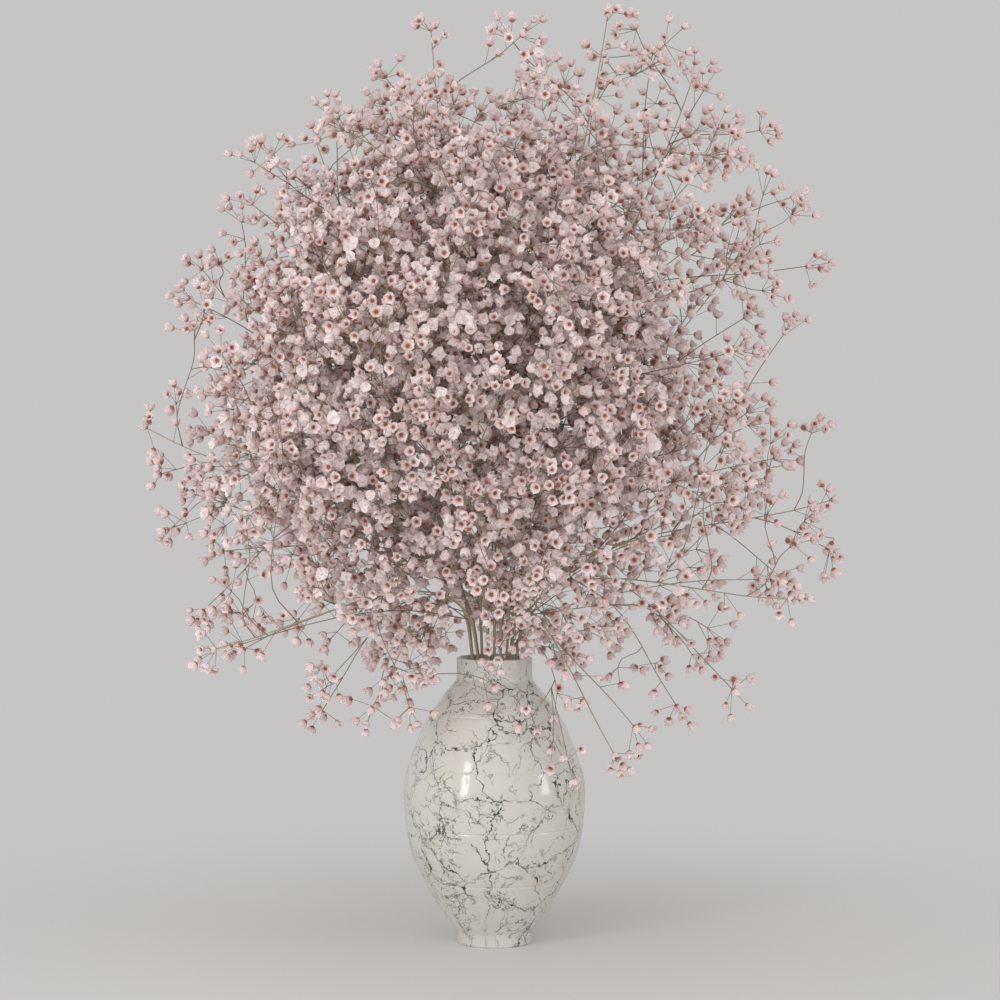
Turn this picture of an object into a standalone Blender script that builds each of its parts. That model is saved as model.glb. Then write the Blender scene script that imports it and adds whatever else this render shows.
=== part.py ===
"""Gypsophila in a vase.

A turned ceramic vase holds cut stems of dried gypsophila. Each stem grew as one piece and is one
solid: it stands on the vase's floor, leans out through the neck, and carries boughs that end in
small bell-shaped florets. Units are metres with +Z up. The front is -Y, and the origin is the
centre of the vase's flat underside."""

import math
import random

import bmesh
import bpy
import numpy as np
from mathutils import Vector

# Vase
VASE_HEIGHT = 0.250
NECK_RADIUS = 0.033
NECK_LENGTH = 0.019
FOOT_RADIUS = 0.033
FOOT_HEIGHT = 0.010
BELLY = ((0.059, 0.196), (0.077, 0.149), (0.079, 0.122), (0.073, 0.080), (0.053, 0.039))
WALL = 0.0035
FLOOR = 0.008
RIM_ROUNDING = 0.0009
VASE_SIDES = 48
BELLY_STEPS = 2

# Stems. Each row is the bearing of a spray's tip in degrees from +X, how far the tip is from the
# vase's axis, and its height. Rows run round the neck, so that no two stems cross.
OUTER_STEMS = (
    (8, 0.300, 0.385),
    (36, 0.280, 0.610),
    (70, 0.215, 0.235),
    (102, 0.290, 0.520),
    (136, 0.265, 0.320),
    (162, 0.275, 0.590),
    (188, 0.300, 0.450),
    (212, 0.270, 0.270),
    (242, 0.265, 0.550),
    (270, 0.240, 0.320),
    (302, 0.185, 0.185),
    (332, 0.275, 0.310),
)
INNER_STEMS = (
    (18, 0.185, 0.760),
    (84, 0.140, 0.735),
    (150, 0.185, 0.705),
    (205, 0.060, 0.790),
    (262, 0.185, 0.670),
    (320, 0.125, 0.800),
)
STEM_RADII = (0.0015, 0.0007)
OUTER_RING = 0.0200
INNER_RING = 0.0125
FEET_TOGETHER = 0.5
KNOT_SPACING = 0.034
FEWEST_KNOTS = 5
CURVE_ALLOWANCE = 1.1
RISE_SHARE = 0.40
SHORTEST_RISE = 0.115
ARRIVAL_SHARE = 0.35
DROOP = 0.25

# Crown. REACH is how far the flowers reach from its centre, to the right, back, left and front,
# at every 22.5 degrees of elevation from straight down to straight up.
CROWN_CENTRE = Vector((-0.015, 0.0, 0.500))
REACH = (
    (0.235, 0.325, 0.350, 0.340, 0.270, 0.320, 0.320, 0.330, 0.290),
    (0.235, 0.290, 0.315, 0.310, 0.295, 0.300, 0.300, 0.305, 0.290),
    (0.235, 0.335, 0.332, 0.300, 0.270, 0.255, 0.265, 0.285, 0.290),
    (0.225, 0.230, 0.265, 0.285, 0.290, 0.295, 0.300, 0.305, 0.290),
)
ELEVATION_STEP = 22.5

# Tips of the boughs that stand out from the crown's outline, as seen from the front.
EDGE_SPRAYS = (
    (0.290, -0.02, 0.345),
    (0.250, 0.03, 0.320),
    (0.205, -0.03, 0.225),
    (0.160, 0.03, 0.205),
    (0.118, -0.07, 0.198),
    (0.278, 0.02, 0.445),
    (0.248, -0.03, 0.530),
    (0.270, 0.00, 0.590),
    (0.232, 0.03, 0.710),
    (0.180, -0.02, 0.740),
    (0.125, 0.05, 0.800),
    (0.022, -0.03, 0.785),
    (-0.095, 0.02, 0.755),
    (-0.190, -0.02, 0.685),
    (-0.222, 0.03, 0.630),
    (-0.262, 0.00, 0.560),
    (-0.290, 0.00, 0.410),
    (-0.255, 0.02, 0.290),
    (-0.215, -0.03, 0.260),
    (-0.152, 0.03, 0.200),
    (-0.105, -0.03, 0.210),
    (-0.066, -0.06, 0.215),
)

# Boughs
BOUGHS = 125
BOUGHS_PER_STEM = 11
BOUGH_RADII = (0.0006, 0.0004)
BOUGH_LENGTHS = (0.050, 0.230)
BOUGH_STEPS = 4
BOUGH_ANGLE = math.radians(38)
MOST_BENT = math.radians(100)
HANDLE_SHARE = 0.35
TURN_OUTWARDS = 0.35
EDGE_DRIFT = 0.010
TRIES_TO_DRIFT = 8
TOP_TIP, TIP_BAND = 0.97, 1.80
TIP_SCATTER = 0.05
BEARING_SCATTER = 12
TRIES_TO_SCATTER = 10
TIP_SHARES = (0.60, 0.98)
LOWEST_BOUGH = VASE_HEIGHT + 0.015
RIM_MARGIN = 0.012
SHOULDER_MARGIN = 0.095
TIP_SPACING = 0.040
CLEARANCE = 0.0045
BEAD = 0.003
FREE_START = 0.014
TRIES = 60

# Florets
FLORET_LENGTH = 0.0080
FLORET_RADIUS = 0.0042
FLORET_SHOULDER = 0.4
SHOULDER_WIDTH = 0.85
TUBE_RESOLUTION = 0
WELD = 0.00001

GAP = 0.0003
GOLDEN_ANGLE = 180 * (3 - math.sqrt(5))
SEED = 7

GLAZE = ((0.72, 0.69, 0.64, 1.0), 0.15)
DRIED_STEM = ((0.30, 0.23, 0.15, 1.0), 0.75)


def material(name, colour, roughness):
    made = bpy.data.materials.new(name)
    made.use_nodes = True
    shader = made.node_tree.nodes["Principled BSDF"]
    shader.inputs["Base Color"].default_value = colour
    shader.inputs["Roughness"].default_value = roughness
    shader.inputs["Metallic"].default_value = 0.0
    return made


def smooth_through(points, steps):
    """Points on a Catmull-Rom curve through these points, with this many steps to each span."""
    points = [Vector(p) for p in points]
    ends = [2 * points[0] - points[1], *points, 2 * points[-1] - points[-2]]
    found = []
    for a, b, c, d in zip(ends, ends[1:], ends[2:], ends[3:]):
        for step in range(steps):
            t = step / steps
            found.append(
                0.5 * (2 * b + (c - a) * t + (2 * a - 5 * b + 4 * c - d) * t**2
                       + (3 * b - a - 3 * c + d) * t**3)
            )
    return [*found, points[-1]]


def bezier(start, leave, arrive, end, steps):
    """Points after start on the curve from start to end with these two handles."""
    found = []
    for step in range(1, steps + 1):
        t = step / steps
        s = 1 - t
        found.append(s**3 * start + 3 * s * s * t * leave + 3 * s * t * t * arrive + t**3 * end)
    return found


def vase_profile():
    """(radius, height) points up the inside, over the rim, down the outside and to the axis."""
    shoulder = (NECK_RADIUS, VASE_HEIGHT - NECK_LENGTH)
    outside = smooth_through([shoulder, *BELLY, (FOOT_RADIUS, FOOT_HEIGHT)], BELLY_STEPS)
    inside = []
    for before, here, after in zip(outside, outside[1:], outside[2:]):
        down = (after - before).normalized()
        inside.append(here + Vector((down.y, -down.x)) * WALL)
    inner_neck = NECK_RADIUS - WALL
    return [
        (0, FLOOR),
        (FOOT_RADIUS - WALL, FLOOR),
        *[p for p in reversed(inside) if p.y > FLOOR + WALL],
        (inner_neck, shoulder[1]),
        (inner_neck, VASE_HEIGHT - RIM_ROUNDING),
        (inner_neck + RIM_ROUNDING, VASE_HEIGHT),
        (NECK_RADIUS - RIM_ROUNDING, VASE_HEIGHT),
        (NECK_RADIUS, VASE_HEIGHT - RIM_ROUNDING),
        *outside,
        (FOOT_RADIUS, 0),
        (0, 0),
    ]


def add_object(name, mesh, parts, finish):
    made = bpy.data.objects.new(name, mesh)
    mesh.materials.append(finish)
    parts.objects.link(made)
    return made


def add_vase(parts):
    points = [(radius, 0, height) for radius, height in vase_profile()]
    mesh = bpy.data.meshes.new("vase")
    mesh.from_pydata(points, [(i, i + 1) for i in range(len(points) - 1)], [])
    vase = add_object("vase", mesh, parts, material("white_glaze", *GLAZE))
    turn = vase.modifiers.new("Turned", "SCREW")
    turn.steps = turn.render_steps = VASE_SIDES
    turn.use_merge_vertices = True
    turn.merge_threshold = 0.00005
    turn.use_smooth_shade = True
    return vase


def outward(bearing):
    return Vector((math.cos(math.radians(bearing)), math.sin(math.radians(bearing)), 0))


def stem_axis(tip, ring, slot, slots):
    """A stem's points: from its foot in the vase, through its slot of a ring in the neck, to its
    tip. The first three are its foot, the middle of the vase and the rim."""
    bearing, distance, height = tip
    held = outward(360 * (slot + 0.5) / slots)
    foot = FEET_TOGETHER * ring * held + Vector((0, 0, FLOOR + GAP))
    rim = ring * held + Vector((0, 0, VASE_HEIGHT))
    end = distance * outward(bearing) + Vector((0, 0, height))
    lean = (rim - foot).normalized()
    span = end - rim
    out = span.normalized()
    droop = Vector((0, 0, -DROOP * (1 - out.z)))
    leave = rim + lean * max(span.length * RISE_SHARE, SHORTEST_RISE)
    arrive = end - (out + droop).normalized() * span.length * ARRIVAL_SHARE
    steps = max(FEWEST_KNOTS, round(span.length * CURVE_ALLOWANCE / KNOT_SPACING))
    return [foot, (foot + rim) / 2, rim, *bezier(rim, leave, arrive, end, steps)]


def reach(bearing, elevation):
    """How far the flowers reach from the crown's centre in this direction, in degrees."""
    row = min((elevation + 90) / ELEVATION_STEP, 7.999)
    side = bearing % 360 / 90
    found = 0
    for i in (0, 1):
        profile = REACH[(int(side) + i) % 4]
        here = profile[int(row)] + (profile[int(row) + 1] - profile[int(row)]) * (row % 1)
        found += here * (side % 1 if i else 1 - side % 1)
    return found


def crown_point(bearing, elevation, share):
    """The point at this share of the way from the crown's centre to its outside."""
    level = math.cos(math.radians(elevation))
    direction = level * outward(bearing) + Vector((0, 0, math.sin(math.radians(elevation))))
    return CROWN_CENTRE + direction * share * reach(bearing, elevation)


def beads(points):
    """Points a bead apart along a path, as an array, for measuring clearances."""
    found = []
    for a, b in zip(points, points[1:]):
        count = max(1, math.ceil((b - a).length / BEAD))
        found += [a.lerp(b, i / count) for i in range(count)]
    return np.array([*found, points[-1]])


def bough_points(host, knot, target):
    """A bough's points from a stem's knot to its target, leaving the stem at BOUGH_ANGLE."""
    start = host[knot]
    along = (host[knot + 1] - start).normalized()
    span = target - start
    side = (span - span.dot(along) * along).normalized()
    turn = min(BOUGH_ANGLE, along.angle(span))
    handle = span.length * HANDLE_SHARE
    leave = start + (along * math.cos(turn) + side * math.sin(turn)) * handle
    outwards = TURN_OUTWARDS * (target - CROWN_CENTRE).normalized()
    arrive = target - (span.normalized() + outwards).normalized() * handle
    return [start, *bezier(start, leave, arrive, target, BOUGH_STEPS)]


def best_host(stems, taken, target):
    """(stem, knot) from which a bough to the target is short and leaves at a natural angle."""
    best = None
    for number, stem in enumerate(stems):
        if sum(taken[number]) >= BOUGHS_PER_STEM:
            continue
        for knot in range(3, len(stem) - 1):
            span = target - stem[knot]
            fits = BOUGH_LENGTHS[0] < span.length < BOUGH_LENGTHS[1]
            if taken[number][knot] or not fits or stem[knot].z < LOWEST_BOUGH:
                continue
            off = abs((stem[knot + 1] - stem[knot]).angle(span) - BOUGH_ANGLE)
            cost = span.length * (1 + off * off)
            if off < MOST_BENT and (best is None or cost < best[0]):
                best = (cost, number, knot)
    return best and best[1:]


def inside_vase(points):
    low = [p for p in points if p.z < VASE_HEIGHT + RIM_MARGIN]
    return any(math.hypot(p.x, p.y) < SHOULDER_MARGIN for p in low)


def edge_target(number, attempt, draw):
    """A place for the tip of an edge spray, which drifts as tries fail."""
    drift = Vector([draw.uniform(-1, 1) for _ in range(3)])
    return Vector(EDGE_SPRAYS[number]) + drift * EDGE_DRIFT * attempt / TRIES_TO_DRIFT


def spread_target(number, attempt, draw):
    """A place for a bough's tip. They spread evenly over the crown's outer part."""
    scatter = draw.uniform(-TIP_SCATTER, TIP_SCATTER)
    height = TOP_TIP - TIP_BAND * (number + 0.5) / BOUGHS + scatter
    elevation = math.degrees(math.asin(max(-1, min(1, height))))
    turn = draw.uniform(-BEARING_SCATTER, BEARING_SCATTER) * (1 + attempt / TRIES_TO_SCATTER)
    return crown_point(GOLDEN_ANGLE * number + turn, elevation, draw.uniform(*TIP_SHARES))


def gap_between(beads_a, beads_b):
    return np.linalg.norm(beads_a[:, None] - beads_b[None], axis=2).min()


def past(path, length):
    """The point this far past a path's end."""
    return path[-1] + (path[-1] - path[-2]).normalized() * length


def grow_boughs(stems):
    """A list of (knot, points) for each stem. A bough is kept only if it passes clear of all that
    has grown, and each target has several tries."""
    draw = random.Random(SEED)
    grown = [[] for _ in stems]
    taken = [[False] * len(stem) for stem in stems]
    tips = [stem[-1] for stem in stems]
    wood = np.concatenate([beads([*stem, past(stem, FLORET_LENGTH)]) for stem in stems])
    aims = [(edge_target, n) for n in range(len(EDGE_SPRAYS))]
    aims += [(spread_target, n) for n in range(BOUGHS)]
    for aim, number in aims:
        for attempt in range(TRIES):
            target = aim(number, attempt, draw)
            if min((target - tip).length for tip in tips) < TIP_SPACING:
                continue
            found = best_host(stems, taken, target)
            if not found:
                continue
            host, knot = found
            points = bough_points(stems[host], knot, target)
            new = beads([*points, past(points, FLORET_LENGTH)])
            free = new[np.linalg.norm(new - np.array(points[0]), axis=1) > FREE_START]
            flower = beads([points[-1], past(points, FLORET_LENGTH)])
            if gap_between(free, wood) < CLEARANCE or inside_vase(points):
                continue
            if gap_between(flower, wood) < 2 * FLORET_RADIUS + GAP:
                continue
            taken[host][knot] = True
            grown[host].append((knot, points))
            tips.append(target)
            wood = np.concatenate([wood, free])
            break
    return grown


def with_floret(path, radii):
    """(point, radius) along a path that narrows as radii say and opens in a bell at its end."""
    spans = len(path) - 1
    narrowing = [(p, radii[0] + (radii[1] - radii[0]) * i / spans) for i, p in enumerate(path)]
    along = (path[-1] - path[-2]).normalized() * FLORET_LENGTH
    return [
        *narrowing,
        (path[-1] + along * FLORET_SHOULDER, FLORET_RADIUS * SHOULDER_WIDTH),
        (path[-1] + along, FLORET_RADIUS),
    ]


def tubes(name, paths):
    """A mesh of one closed tube for each path of (point, radius)."""
    curve = bpy.data.curves.new(name, "CURVE")
    curve.dimensions = "3D"
    curve.bevel_depth = 1.0
    curve.bevel_resolution = TUBE_RESOLUTION
    curve.use_fill_caps = True
    for path in paths:
        spline = curve.splines.new("POLY")
        spline.points.add(len(path) - 1)
        for control, (point, radius) in zip(spline.points, path):
            control.co = (*point, 1)
            control.radius = radius
    holder = bpy.data.objects.new(name, curve)
    bpy.context.scene.collection.objects.link(holder)
    evaluated = holder.evaluated_get(bpy.context.evaluated_depsgraph_get())
    mesh = bpy.data.meshes.new_from_object(evaluated)
    bpy.data.objects.remove(holder)
    bpy.data.curves.remove(curve)
    welded = bmesh.new()
    welded.from_mesh(mesh)
    bmesh.ops.remove_doubles(welded, verts=welded.verts, dist=WELD)
    welded.to_mesh(mesh)
    welded.free()
    return mesh


def add_stem(name, points, boughs, parts, joined, finish):
    stem = add_object(name, tubes(name, [with_floret(points, STEM_RADII)]), parts, finish)
    if boughs:
        paths = [with_floret(bough, BOUGH_RADII) for _, bough in boughs]
        grown = add_object(f"{name}_boughs", tubes(f"{name}_boughs", paths), joined, finish)
        grown.hide_render = True
        grown.display_type = "WIRE"
        union = stem.modifiers.new("Grown together", "BOOLEAN")
        union.operation = "UNION"
        union.object = grown
    return stem


def all_stem_axes():
    found = []
    for tips, ring in ((OUTER_STEMS, OUTER_RING), (INNER_STEMS, INNER_RING)):
        found += [stem_axis(tip, ring, slot, len(tips)) for slot, tip in enumerate(tips)]
    return found


def main():
    for old in list(bpy.data.objects):
        bpy.data.objects.remove(old)
    parts = bpy.data.collections.new("gypsophila_in_vase")
    bpy.context.scene.collection.children.link(parts)
    add_vase(parts)
    joined = bpy.data.collections.new("joined")
    bpy.context.scene.collection.children.link(joined)
    finish = material("dried_stem", *DRIED_STEM)
    stems = all_stem_axes()
    for number, (points, boughs) in enumerate(zip(stems, grow_boughs(stems)), 1):
        add_stem(f"stem_{number:02}", points, boughs, parts, joined, finish)


main()
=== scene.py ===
"""Gypsophila in a vase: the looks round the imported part, in metres, +Z up, front -Y.

The stems and boughs grow by the same rules as the part's own, so each lies where its solid lies.
Twigs, pedicels and florets, open or crumpled, then grow on them through the crown's volume."""

import itertools
import math
import random

import bpy
import numpy as np
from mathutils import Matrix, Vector


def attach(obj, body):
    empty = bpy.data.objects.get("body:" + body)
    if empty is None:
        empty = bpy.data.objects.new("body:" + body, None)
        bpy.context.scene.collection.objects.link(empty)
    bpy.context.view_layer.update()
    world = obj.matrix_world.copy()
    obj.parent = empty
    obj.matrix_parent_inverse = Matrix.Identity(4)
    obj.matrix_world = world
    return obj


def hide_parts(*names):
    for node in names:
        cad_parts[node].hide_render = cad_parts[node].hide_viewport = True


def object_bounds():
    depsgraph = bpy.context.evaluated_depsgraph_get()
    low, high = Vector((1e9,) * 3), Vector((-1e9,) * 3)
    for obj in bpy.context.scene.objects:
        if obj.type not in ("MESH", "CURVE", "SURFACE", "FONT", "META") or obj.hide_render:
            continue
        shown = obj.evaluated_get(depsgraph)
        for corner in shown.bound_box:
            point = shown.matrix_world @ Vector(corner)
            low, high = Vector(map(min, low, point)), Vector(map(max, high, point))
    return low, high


# ---------------------------------------------------------------- the part's own dimensions

VASE_HEIGHT = 0.250
NECK_RADIUS = 0.033
NECK_LENGTH = 0.019
FOOT_RADIUS = 0.033
FOOT_HEIGHT = 0.010
BELLY = ((0.059, 0.196), (0.077, 0.149), (0.079, 0.122), (0.073, 0.080), (0.053, 0.039))
WALL = 0.0035
FLOOR = 0.008

OUTER_STEMS = (
    (8, 0.300, 0.385),
    (36, 0.280, 0.610),
    (70, 0.215, 0.235),
    (102, 0.290, 0.520),
    (136, 0.265, 0.320),
    (162, 0.275, 0.590),
    (188, 0.300, 0.450),
    (212, 0.270, 0.270),
    (242, 0.265, 0.550),
    (270, 0.240, 0.320),
    (302, 0.185, 0.185),
    (332, 0.275, 0.310),
)
INNER_STEMS = (
    (18, 0.185, 0.760),
    (84, 0.140, 0.735),
    (150, 0.185, 0.705),
    (205, 0.060, 0.790),
    (262, 0.185, 0.670),
    (320, 0.125, 0.800),
)
STEM_RADII = (0.0015, 0.0007)
OUTER_RING = 0.0200
INNER_RING = 0.0125
FEET_TOGETHER = 0.5
KNOT_SPACING = 0.034
FEWEST_KNOTS = 5
CURVE_ALLOWANCE = 1.1
RISE_SHARE = 0.40
SHORTEST_RISE = 0.115
ARRIVAL_SHARE = 0.35
DROOP = 0.25

# Crown. REACH is how far the flowers reach from its centre, to the right, back, left and front,
# at every 22.5 degrees of elevation from straight down to straight up.
CROWN_CENTRE = Vector((-0.015, 0.0, 0.500))
REACH = (
    (0.235, 0.325, 0.350, 0.340, 0.270, 0.320, 0.320, 0.330, 0.290),
    (0.235, 0.290, 0.315, 0.310, 0.295, 0.300, 0.300, 0.305, 0.290),
    (0.235, 0.335, 0.332, 0.300, 0.270, 0.255, 0.265, 0.285, 0.290),
    (0.225, 0.230, 0.265, 0.285, 0.290, 0.295, 0.300, 0.305, 0.290),
)
ELEVATION_STEP = 22.5
EDGE_SPRAYS = (
    (0.290, -0.02, 0.345),
    (0.250, 0.03, 0.320),
    (0.205, -0.03, 0.225),
    (0.160, 0.03, 0.205),
    (0.118, -0.07, 0.198),
    (0.278, 0.02, 0.445),
    (0.248, -0.03, 0.530),
    (0.270, 0.00, 0.590),
    (0.232, 0.03, 0.710),
    (0.180, -0.02, 0.740),
    (0.125, 0.05, 0.800),
    (0.022, -0.03, 0.785),
    (-0.095, 0.02, 0.755),
    (-0.190, -0.02, 0.685),
    (-0.222, 0.03, 0.630),
    (-0.262, 0.00, 0.560),
    (-0.290, 0.00, 0.410),
    (-0.255, 0.02, 0.290),
    (-0.215, -0.03, 0.260),
    (-0.152, 0.03, 0.200),
    (-0.105, -0.03, 0.210),
    (-0.066, -0.06, 0.215),
)

BOUGHS = 125
BOUGHS_PER_STEM = 11
BOUGH_RADII = (0.0006, 0.0004)
BOUGH_LENGTHS = (0.050, 0.230)
BOUGH_STEPS = 4
BOUGH_ANGLE = math.radians(38)
MOST_BENT = math.radians(100)
HANDLE_SHARE = 0.35
TURN_OUTWARDS = 0.35
EDGE_DRIFT = 0.010
TRIES_TO_DRIFT = 8
TOP_TIP = 0.97
TIP_BAND = 1.80
TIP_SCATTER = 0.05
BEARING_SCATTER = 12
TRIES_TO_SCATTER = 10
TIP_SHARES = (0.60, 0.98)
LOWEST_BOUGH = VASE_HEIGHT + 0.015
RIM_MARGIN = 0.012
SHOULDER_MARGIN = 0.095
TIP_SPACING = 0.040
CLEARANCE = 0.0045
BEAD = 0.003
FREE_START = 0.014
TRIES = 60
FLORET_LENGTH = 0.0080
FLORET_RADIUS = 0.0042
GAP = 0.0003
GOLDEN_ANGLE = 180 * (3 - math.sqrt(5))
SEED = 7

# ---------------------------------------------------------------- the finer growth

UMBELS = 1500
UMBEL_SPACING = 0.016
# Umbels that hang before the neck and the vase's right shoulder.
HANGING_UMBELS = (
    (-0.010, -0.052, 0.236),
    (0.054, -0.036, 0.222),
    (0.032, -0.070, 0.206),
    (0.050, -0.074, 0.186),
    (0.062, -0.080, 0.170),
)
HEART_CENTRE = Vector((-0.036, 0.0, 0.495))
HEART_RADII = (0.208, 0.262, 0.200)
HEART_EDGE = (0.75, 1.08)
HEART_SHELL = (0.42, 0.68)
HEART_INSIDE = 0.32
VEIL = 0.28
VEIL_THINS = 0.80
VEIL_EDGE = 0.94
FULL_EDGE = 1.04
LOBE_DEPTH = 0.12
# Seen from the front, places where the crown is fuller (more than 0) or barer (less than 0) than
# its plain shape: across, up, radius and by how much.
LOBES = (
    (0.116, 0.752, 0.028, 0.16),
    (0.205, 0.672, 0.040, 0.08),
    (0.272, 0.366, 0.030, 0.10),
    (-0.275, 0.372, 0.024, 0.20),
    (-0.190, 0.322, 0.024, 0.22),
    (-0.235, 0.395, 0.030, 0.12),
    (-0.145, 0.238, 0.022, 0.22),
    (-0.125, 0.360, 0.035, 0.12),
    (-0.062, 0.285, 0.030, 0.16),
    (-0.058, 0.236, 0.022, 0.50),
    (0.180, 0.240, 0.030, 0.20),
    (-0.195, 0.668, 0.026, 0.05),
    (0.026, 0.790, 0.040, -0.50),
    (-0.148, 0.674, 0.032, -0.80),
    (0.125, 0.712, 0.040, -0.40),
    (0.110, 0.655, 0.040, -0.35),
    (-0.195, 0.585, 0.030, -0.45),
    (-0.165, 0.540, 0.030, -0.35),
    (0.190, 0.285, 0.040, -0.70),
    (-0.165, 0.275, 0.035, -0.60),
    (-0.035, 0.290, 0.035, 0.30),
    (0.040, 0.288, 0.022, 0.20),
    (-0.062, 0.775, 0.026, -0.80),
    (-0.017, 0.730, 0.040, -0.93),
    (-0.150, 0.712, 0.050, -0.97),
    (-0.240, 0.636, 0.034, -0.90),
    (-0.250, 0.540, 0.042, -0.85),
    (0.250, 0.535, 0.045, -0.90),
    (0.200, 0.510, 0.045, -0.95),
    (0.165, 0.590, 0.035, -0.50),
    (0.185, 0.740, 0.050, -0.97),
    (0.240, 0.705, 0.030, -0.80),
    (-0.240, 0.345, 0.034, -0.97),
    (-0.200, 0.262, 0.045, -0.85),
    (0.125, 0.362, 0.045, -0.85),
    (0.210, 0.320, 0.055, -0.85),
    (0.270, 0.430, 0.050, -0.60),
    (0.072, 0.236, 0.028, -0.95),
    (0.140, 0.186, 0.030, -0.90),
)
LOWEST_TWIG = VASE_HEIGHT - 0.025
BOX_MARGIN = 0.006
BOX_SKIN = 0.00002
RIM_CLEAR = 0.006
VASE_CLEAR = 0.007
CELL = 0.008
TWIG_LONGEST = 0.105
TWIG_RADII = (0.00050, 0.00036)
TWIG_ANGLE = math.radians(36)
PEDICELS = (4, 5, 5, 6, 6, 7)
FEW = (3, 3, 4)
PEDICEL_LENGTHS = (0.0075, 0.0165)
PEDICEL_RADII = (0.00030, 0.00024)
FLORET_SPACING = 0.0078
CLOSER = 0.0022
MORE_PEDICELS = 3
PEDICEL_TRIES = 8
SPRAY_SPACING = 0.022
SPARSE = 0.14
SPRAY_PEDICELS = (1, 1, 2)
TAPER = 0.45
VISIBLE_RADII = (STEM_RADII[0], 0.00045)
FLORET_SIZES = (0.85, 1.12)
OPEN_CUP = ((-0.16, 0.30), 0.080, (0.76, 0.58, 0.4, 0.30))
RUFFLE = ((-0.08, 0.42), 0.165, (0.50, 0.64, 1.6, 0.54))
INSIDE_PARTS = ((0.89, 1.0), (0.82, 0.90))
RUFFLED = 0.95
FORMS = 32
LOOSE = 0.35
FACE_OUT = 0.55
TONES = 16
STEM_TONES = (12, 16)
TWIG_TONES = (0, 10)
STEM_CURVE_STEPS = 4
BOUGH_CURVE_STEPS = 3
STEM_SIDES = 8
BOUGH_SIDES = 6
TWIG_SIDES = 4
PEDICEL_SIDES = 3
TIP_PEDICELS = 5

# How the crown is thinned. The veil thins between these shares of the way out, but less low down.
VEIL_FADE = (0.5, 1.0)
LOW_HEIGHT = 0.36
LOW_FADE = 0.10
LOW_KEEPS = 0.35
# A gap in the veil at the right, a bare upper left corner, and a parting in the heart.
RIGHT_GAP = 0.60
RIGHT_GAP_ACROSS = (0.12, 0.20)
RIGHT_GAP_HEIGHT = 0.555
RIGHT_GAP_HALF = 0.05
CORNER = 0.92
CORNER_SLOPE = 0.6
CORNER_EDGE = (0.22, 0.315)
PARTING = 0.35
PARTING_ACROSS = (-0.05, 0.07)
PARTING_HEIGHT = (0.42, 0.05)

# Twigs
TWIG_SHORTEST = 0.014
SHORT_COST = 10.0
LEAN_COST = 0.9
TWIG_HANDLE = 0.36
TWIG_OUTWARDS = 0.30
TWIG_WANDER = 0.35
TWIG_STEP = 0.011
FEWEST_TWIG_STEPS = 3
TWIG_RIM_CLEAR = 0.004
TWIG_VASE_CLEAR = 0.0012
SPRAY_FORWARDS = 0.6
# About a full turn, in radians.
ANY_TURN = 6.28

# Pedicels: their leans and turns in degrees, and how a floret nods across, along and up.
FIRST_LEAN = (0, 30)
LEANS = (18, 95)
TURN_SCATTER = 20
NODS = ((-0.35, 0.35), (-0.35, 0.35), (-0.45, 0.25))
FLORET_SEAT = 0.0004

# A floret's rings, as shares of its radius and length. Each bend is times the form's crumpling.
PETALS = 5
CALYX_WIDE = 0.44
CALYX_HIGH = 0.07
ROUND_WIDE = 0.82
ROUND_FLARE = 0.2
ROUND_HIGH = 0.33
ROUND_BENDS = (1.3, 0.6)
LIP_FLARE = 0.85
LIP_BEND = 1.9
# A petal's tip and the notch beside it: how much wider, how high, how far flare lowers it, bend.
PETAL_TIP = (0.02, 0.95, 0.36, 1.2)
PETAL_NOTCH = (-0.10, 0.73, 0.22, 1.6)
# The share of the way from base to tip, on a floret's own map.
CALYX_PART = 0.17
ROUND_PART = 0.46
LIP_PARTS = (0.80, 0.68)
LIP_ACROSS = (0.5, 0.05)
ROUND_ACROSS = (0.2, 0.8)
# What each tone's column and each row of the map leave free at their edges, and fill.
COLUMN = (0.08, 0.84)
ROW = (0.01, 0.98)

# Vase
FILLET = 0.0045
FILLET_STEPS = 6
OUTLINE_STEPS = 12
RINGS = (0.2018, 0.1571, 0.1050, 0.0575)
RING_DEPTH = 0.00042
RING_WIDTH = 0.0007
RING_STEPS = 7
LIP_RISE = 0.35
LIP_TURN = 20
FOOT_ROUND = 0.0012
FOOT_TURN = 18
VASE_SIDES = 128

# Camera, ground and light
CAMERA_DISTANCE = 2.60
CAMERA_HEIGHT = 0.491
VIEW_CENTRE = Vector((0.0048, 0.0, 0.387))
VIEW_WIDTH = 0.871
SENSOR_WIDTH = 36
FARTHEST_SEEN = 50
BACKDROP = (0.560, 0.556, 0.546)
FLOOR_COLOUR = (0.74, 0.735, 0.72)
FLOOR_HALF = 8
FLOOR_FADE = (0.15, 0.75)
AMBIENT = 0.62
AMBIENT_COLOUR = (1.0, 0.985, 0.965, 1.0)


def smooth_through(points, steps):
    """Points on a Catmull-Rom curve through these points, with this many steps to each span."""
    points = [Vector(p) for p in points]
    ends = [2 * points[0] - points[1], *points, 2 * points[-1] - points[-2]]
    found = []
    for a, b, c, d in zip(ends, ends[1:], ends[2:], ends[3:]):
        for step in range(steps):
            t = step / steps
            found.append(
                0.5 * (2 * b + (c - a) * t + (2 * a - 5 * b + 4 * c - d) * t**2
                       + (3 * b - a - 3 * c + d) * t**3)
            )
    return [*found, points[-1]]


def bezier(start, leave, arrive, end, steps):
    """Points after start on the curve from start to end with these two handles."""
    found = []
    for step in range(1, steps + 1):
        t = step / steps
        s = 1 - t
        found.append(s**3 * start + 3 * s * s * t * leave + 3 * s * t * t * arrive + t**3 * end)
    return found


def outward(bearing):
    return Vector((math.cos(math.radians(bearing)), math.sin(math.radians(bearing)), 0))


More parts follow.
